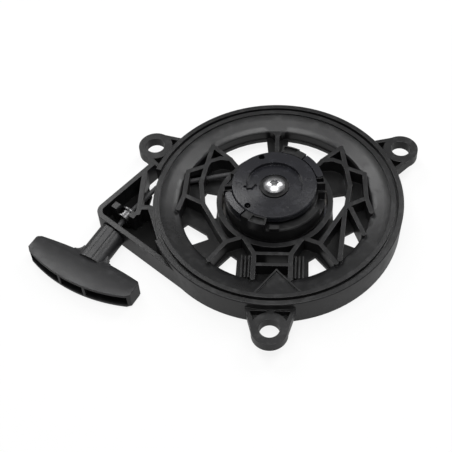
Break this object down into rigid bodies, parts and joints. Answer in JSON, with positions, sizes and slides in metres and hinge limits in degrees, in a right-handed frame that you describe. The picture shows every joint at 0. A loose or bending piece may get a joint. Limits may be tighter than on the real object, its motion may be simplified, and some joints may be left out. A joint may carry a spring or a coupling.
{
  "type": "recoil starter",
  "caption": "Round pull-rope starter with a ribbed housing, rope arm with T-handle, sprung reel, pawls and retainer, on three mounting ears.",
  "frame": {"origin": "centre of the three-hole mounting circle, on the ears' mounting face", "axes": "+Z along the crankshaft axis towards the engine; +Y towards twelve o'clock, opposite the front ear; +X to the right seen from the engine"},
  "size_m": [0.2559, 0.1938, 0.0361],
  "materials": {
    "housing_plastic": "satin black moulded plastic",
    "retainer_plastic": "semi-gloss dark grey moulded plastic",
    "grip_plastic": "satin charcoal plastic",
    "rope": "braided black cord",
    "bright_steel": "bright zinc-plated steel",
    "spring_steel": "oiled spring steel"
  },
  "bodies": {
    "housing": {"housing": "housing_plastic", "rope_eyelet": "bright_steel", "spring_cover": "spring_steel", "recoil_spring": "spring_steel", "rope_run": "rope", "retainer_bushing": "housing_plastic", "centre_screw": "bright_steel"},
    "reel": {"pulley": "housing_plastic", "rope_winding": "rope", "reel_knot": "rope", "pawl_pin_1": "bright_steel", "pawl_pin_2": "bright_steel", "pawl_spring_1": "spring_steel", "pawl_spring_2": "spring_steel", "brake_spring": "spring_steel", "brake_washer": "bright_steel"},
    "retainer": {"retainer": "retainer_plastic"},
    "pawl_1": {"pawl_1": "retainer_plastic"},
    "pawl_2": {"pawl_2": "retainer_plastic"},
    "handle": {"handle_grip": "grip_plastic", "handle_knot": "rope", "handle_washer": "bright_steel"}
  },
  "joints": [
    {"name": "handle_pull", "type": "slide", "parent": "housing", "child": "handle", "axis": [-0.454, -0.891, 0], "range_m": [0, 1.2], "stiffness_N_per_m": 10, "springref_m": -0.8, "deforming": ["rope_run"]},
    {"name": "reel_spin", "type": "hinge", "parent": "housing", "child": "reel", "pos_m": [0, 0, 0], "axis": [0, 0, 1], "range_deg": [0, 2260], "deforming": ["recoil_spring"]},
    {"name": "guide_turn", "type": "hinge", "parent": "reel", "child": "retainer", "pos_m": [0, 0, 0], "axis": [0, 0, 1], "range_deg": [-20, 0], "stiffness_Nm_per_rad": 0.01, "springref_deg": 17.19},
    {"name": "pawl_1_swing", "type": "hinge", "parent": "reel", "child": "pawl_1", "pos_m": [0.02907, 0.00889, 0], "axis": [0, 0, 1], "range_deg": [-20, 0]},
    {"name": "pawl_2_swing", "type": "hinge", "parent": "reel", "child": "pawl_2", "pos_m": [-0.02907, -0.00889, 0], "axis": [0, 0, 1], "range_deg": [-20, 0]}
  ],
  "couplings": [
    {"joint": "reel_spin", "follows": "handle_pull", "rad_per_m": 32.733},
    {"joint": "pawl_1_swing", "follows": "guide_turn", "ratio": 1},
    {"joint": "pawl_2_swing", "follows": "guide_turn", "ratio": 1}
  ]
}
